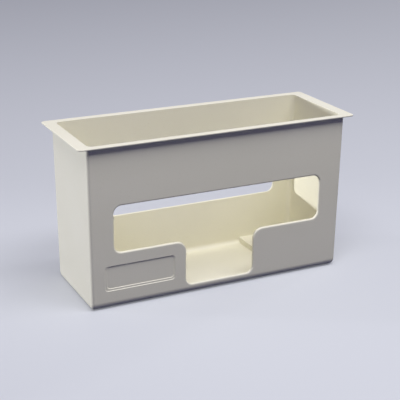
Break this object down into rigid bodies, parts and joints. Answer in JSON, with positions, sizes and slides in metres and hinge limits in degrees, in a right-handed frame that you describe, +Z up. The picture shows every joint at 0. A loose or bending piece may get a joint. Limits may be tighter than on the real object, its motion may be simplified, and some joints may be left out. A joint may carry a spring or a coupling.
{
  "type": "disposable glove dispenser",
  "caption": "Open-topped moulded box with a flat rim, a wide window and a finger notch in front and a window in the back, which holds and dispenses one box of disposable gloves.",
  "frame": {"origin": "on the standing surface, under the middle of the rim", "axes": "+X along the length, to the right seen from the front; -Y the front, with the finger notch; +Z up, out of the open top"},
  "size_m": [0.28, 0.102, 0.156],
  "materials": {
    "moulded_abs": "satin moulded ABS, warm ivory"
  },
  "bodies": {
    "root": {"dispenser_body": "moulded_abs"}
  },
  "joints": []
}
